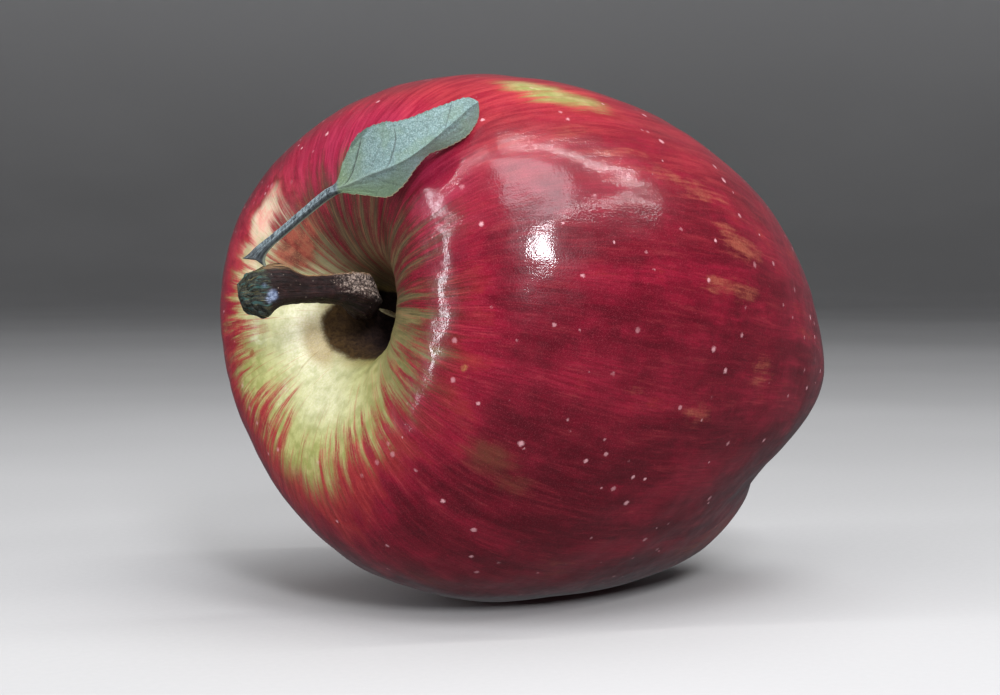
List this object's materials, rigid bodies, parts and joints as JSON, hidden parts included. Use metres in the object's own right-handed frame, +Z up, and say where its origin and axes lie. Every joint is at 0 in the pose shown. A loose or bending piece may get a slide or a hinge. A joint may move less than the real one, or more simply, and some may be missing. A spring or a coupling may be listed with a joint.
{
  "type": "apple",
  "caption": "Apple lying on its side on a small flat spot, with a woody stem in its pit, one small leaf on the stem's end and a dried calyx at the other end.",
  "frame": {"origin": "centre of the small flat rest spot under the fruit, at the height of the surface it rests on", "axes": "+Z up; -X towards the stem end and +X towards the blossom end, along the fruit's length as it lies; +Y completes the frame"},
  "size_m": [0.0928, 0.0769, 0.0741],
  "materials": {
    "skin": "waxy skin, crimson with fine streaks over yellow-green ground and small pale dots",
    "stem_bark": "rough dark bark with silver-tan patches",
    "leaf_green": "matte grey-green leaf with fine veins",
    "dry_calyx": "dry and brown, with fine down",
    "dry_scale": "dry and straw-coloured"
  },
  "bodies": {
    "root": {"fruit": "skin", "stem": "stem_bark", "leaf": "leaf_green", "sepal_1": "dry_calyx", "sepal_2": "dry_calyx", "sepal_3": "dry_calyx", "sepal_4": "dry_calyx", "sepal_5": "dry_calyx", "bud_scale": "dry_scale"}
  },
  "joints": []
}
